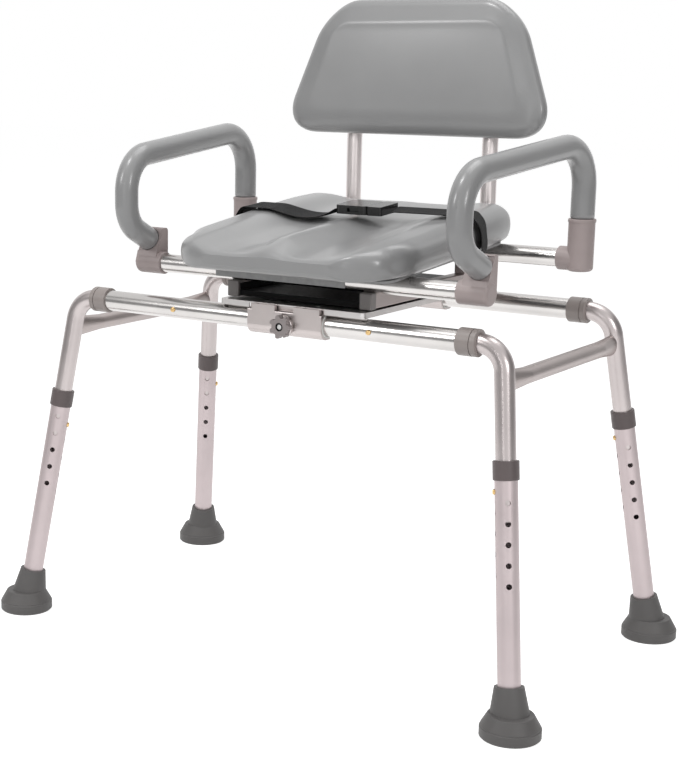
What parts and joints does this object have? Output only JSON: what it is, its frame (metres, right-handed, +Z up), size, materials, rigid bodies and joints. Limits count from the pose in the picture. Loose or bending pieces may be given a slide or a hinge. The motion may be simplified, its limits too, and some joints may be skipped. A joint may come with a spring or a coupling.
{
  "type": "sliding transfer bench",
  "caption": "Bath transfer bench on telescoping legs with a swivel seat that slides along its rails, swing-away padded arms, a back pad and a lap belt.",
  "frame": {"origin": "on the floor, midway between the four feet", "axes": "+X along the rails to the sitter's left-hand end of the picture's right, -Y to the front, +Z up"},
  "size_m": [0.868, 0.52, 0.887],
  "materials": {
    "satin_aluminium": "satin anodised",
    "bright_aluminium": "bright anodised",
    "warm_grey_plastic": "fine grain",
    "dark_grey_plastic": "fine grain",
    "foot_rubber": "matt",
    "grey_polyurethane": "self-skinned foam",
    "black_steel": "powder coat",
    "bright_steel": "zinc plated",
    "button_brass": "polished",
    "liner_plastic": "smooth",
    "pad_rubber": "matt",
    "webbing": "woven webbing",
    "buckle_plastic": "semi-gloss",
    "back_board_plastic": "moulded",
    "slider_finish": "satin"
  },
  "bodies": {
    "base_frame": {"front_rail": "bright_aluminium", "rear_rail": "bright_aluminium", "side_braces": "satin_aluminium", "rail_end_collars": "warm_grey_plastic", "leg_bend_fl": "bright_aluminium", "leg_bend_fr": "bright_aluminium", "leg_bend_rl": "bright_aluminium", "leg_bend_rr": "bright_aluminium"},
    "carriage": {"front_slider": "slider_finish", "rear_slider": "slider_finish", "slider_liners": "liner_plastic", "slide_plate": "bright_aluminium", "carriage_fasteners": "bright_steel", "turntable_lower_race": "bright_steel", "turntable_balls": "bright_steel", "pivot_bolt": "bright_steel"},
    "clamp": {"clamp_pad": "pad_rubber"},
    "knob": {"lock_knob": "warm_grey_plastic"},
    "seat": {"turntable_upper_race": "bright_steel", "turntable_tray": "black_steel", "seat_bars": "bright_aluminium", "bar_end_caps": "warm_grey_plastic", "front_cross_tube": "bright_aluminium", "rear_cross_tube": "bright_aluminium", "rear_brackets": "warm_grey_plastic", "arm_cradles": "warm_grey_plastic", "arm_sockets": "warm_grey_plastic", "seat_pan": "satin_aluminium", "seat_cushion": "grey_polyurethane", "back_posts": "bright_aluminium", "back_board": "back_board_plastic", "back_pad": "grey_polyurethane", "belt_strap_left": "webbing", "buckle_socket": "buckle_plastic"},
    "buckle": {"buckle_tongue": "buckle_plastic", "belt_strap_right": "webbing"},
    "arm_left": {"arm_tube_left": "satin_aluminium", "arm_foam_left": "grey_polyurethane"},
    "arm_right": {"arm_tube_right": "satin_aluminium", "arm_foam_right": "grey_polyurethane"},
    "lower_leg_fl": {"lower_leg_tube_fl": "satin_aluminium", "leg_collar_fl": "dark_grey_plastic", "leg_foot_fl": "foot_rubber"},
    "leg_snap_fl": {"leg_clip_fl": "button_brass"},
    "rail_snap_fl": {"rail_clip_fl": "button_brass"},
    "lower_leg_fr": {"lower_leg_tube_fr": "satin_aluminium", "leg_collar_fr": "dark_grey_plastic", "leg_foot_fr": "foot_rubber"},
    "leg_snap_fr": {"leg_clip_fr": "button_brass"},
    "rail_snap_fr": {"rail_clip_fr": "button_brass"},
    "lower_leg_rl": {"lower_leg_tube_rl": "satin_aluminium", "leg_collar_rl": "dark_grey_plastic", "leg_foot_rl": "foot_rubber"},
    "leg_snap_rl": {"leg_clip_rl": "button_brass"},
    "rail_snap_rl": {"rail_clip_rl": "button_brass"},
    "lower_leg_rr": {"lower_leg_tube_rr": "satin_aluminium", "leg_collar_rr": "dark_grey_plastic", "leg_foot_rr": "foot_rubber"},
    "leg_snap_rr": {"leg_clip_rr": "button_brass"},
    "rail_snap_rr": {"rail_clip_rr": "button_brass"}
  },
  "joints": [
    {"name": "leg_height_fl", "type": "slide", "parent": "base_frame", "child": "lower_leg_fl", "axis": [0.1261, 0.1261, 0.984], "range_m": [0, 0.0762], "deforming": ["leg_clip_fl"]},
    {"name": "leg_button_fl", "type": "slide", "parent": "base_frame", "child": "leg_snap_fl", "axis": [-0.8294, -0.5308, 0.1744], "range_m": [0, 0.0045], "stiffness_N_per_m": 3000, "deforming": ["leg_clip_fl"]},
    {"name": "rail_button_fl", "type": "slide", "parent": "base_frame", "child": "rail_snap_fl", "axis": [0, 1, 0], "range_m": [0, 0.0045], "stiffness_N_per_m": 3000, "deforming": ["rail_clip_fl"]},
    {"name": "leg_height_fr", "type": "slide", "parent": "base_frame", "child": "lower_leg_fr", "axis": [-0.1261, 0.1261, 0.984], "range_m": [0, 0.0762], "deforming": ["leg_clip_fr"]},
    {"name": "leg_button_fr", "type": "slide", "parent": "base_frame", "child": "leg_snap_fr", "axis": [0.8346, 0.5497, 0.0365], "range_m": [0, 0.0045], "stiffness_N_per_m": 3000, "deforming": ["leg_clip_fr"]},
    {"name": "rail_button_fr", "type": "slide", "parent": "base_frame", "child": "rail_snap_fr", "axis": [0, 1, 0], "range_m": [0, 0.0045], "stiffness_N_per_m": 3000, "deforming": ["rail_clip_fr"]},
    {"name": "leg_height_rl", "type": "slide", "parent": "base_frame", "child": "lower_leg_rl", "axis": [0.1261, -0.1261, 0.984], "range_m": [0, 0.0762], "deforming": ["leg_clip_rl"]},
    {"name": "leg_button_rl", "type": "slide", "parent": "base_frame", "child": "leg_snap_rl", "axis": [-0.8346, -0.5497, 0.0365], "range_m": [0, 0.0045], "stiffness_N_per_m": 3000, "deforming": ["leg_clip_rl"]},
    {"name": "rail_button_rl", "type": "slide", "parent": "base_frame", "child": "rail_snap_rl", "axis": [0, -1, 0], "range_m": [0, 0.0045], "stiffness_N_per_m": 3000, "deforming": ["rail_clip_rl"]},
    {"name": "leg_height_rr", "type": "slide", "parent": "base_frame", "child": "lower_leg_rr", "axis": [-0.1261, -0.1261, 0.984], "range_m": [0, 0.0762], "deforming": ["leg_clip_rr"]},
    {"name": "leg_button_rr", "type": "slide", "parent": "base_frame", "child": "leg_snap_rr", "axis": [0.8294, 0.5308, 0.1744], "range_m": [0, 0.0045], "stiffness_N_per_m": 3000, "deforming": ["leg_clip_rr"]},
    {"name": "rail_button_rr", "type": "slide", "parent": "base_frame", "child": "rail_snap_rr", "axis": [0, -1, 0], "range_m": [0, 0.0045], "stiffness_N_per_m": 3000, "deforming": ["rail_clip_rr"]},
    {"name": "carriage_slide", "type": "slide", "parent": "base_frame", "child": "carriage", "axis": [1, 0, 0], "range_m": [-0.2, 0.13]},
    {"name": "knob_advance", "type": "slide", "parent": "carriage", "child": "clamp", "axis": [0, -1, 0], "range_m": [0, 0.0015]},
    {"name": "knob_turn", "type": "hinge", "parent": "clamp", "child": "knob", "pos_m": [0.0295, -0.19, 0.464], "axis": [0, -1, 0], "range_deg": [0, 360]},
    {"name": "seat_swivel", "type": "hinge", "parent": "carriage", "child": "seat", "pos_m": [0.035, 0, 0.495], "axis": [0, 0, 1], "continuous": true},
    {"name": "arm_swing_left", "type": "hinge", "parent": "seat", "child": "arm_left", "pos_m": [-0.2376, 0.114, 0.56], "axis": [0, 0, 1], "range_deg": [-175, 0]},
    {"name": "arm_swing_right", "type": "hinge", "parent": "seat", "child": "arm_right", "pos_m": [0.3076, 0.114, 0.56], "axis": [0, 0, 1], "range_deg": [0, 175]},
    {"name": "buckle_pull", "type": "slide", "parent": "seat", "child": "buckle", "axis": [1, 0, 0], "range_m": [0, 0.03], "deforming": ["belt_strap_right"]}
  ],
  "couplings": [
    {"joint": "knob_advance", "follows": "knob_turn", "m_per_rad": 0.00023873}
  ]
}
